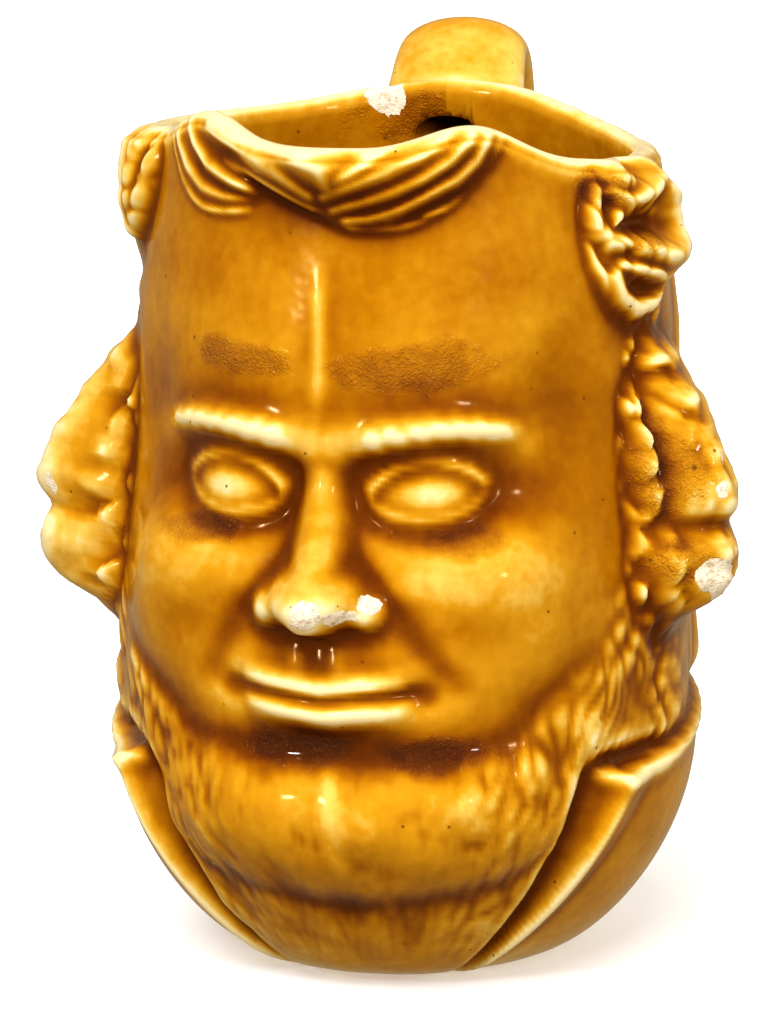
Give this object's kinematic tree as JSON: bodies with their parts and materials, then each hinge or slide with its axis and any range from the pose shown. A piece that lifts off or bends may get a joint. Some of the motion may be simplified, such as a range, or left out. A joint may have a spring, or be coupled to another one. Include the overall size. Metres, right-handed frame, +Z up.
{
  "type": "toby jug",
  "caption": "Hollow earthenware face jug: a bearded head over a coat collar, with a pouring lip and a strap handle.",
  "frame": {"origin": "centre of the foot's flat underside", "axes": "+Z up, the face looks towards -Y, the handle is at +Y"},
  "size_m": [0.1346, 0.1585, 0.1711],
  "materials": {
    "honey_glaze": "glossy honey-brown lead glaze, dark in the hollows and pale on the ridges"
  },
  "bodies": {
    "root": {"jug": "honey_glaze"}
  },
  "joints": []
}
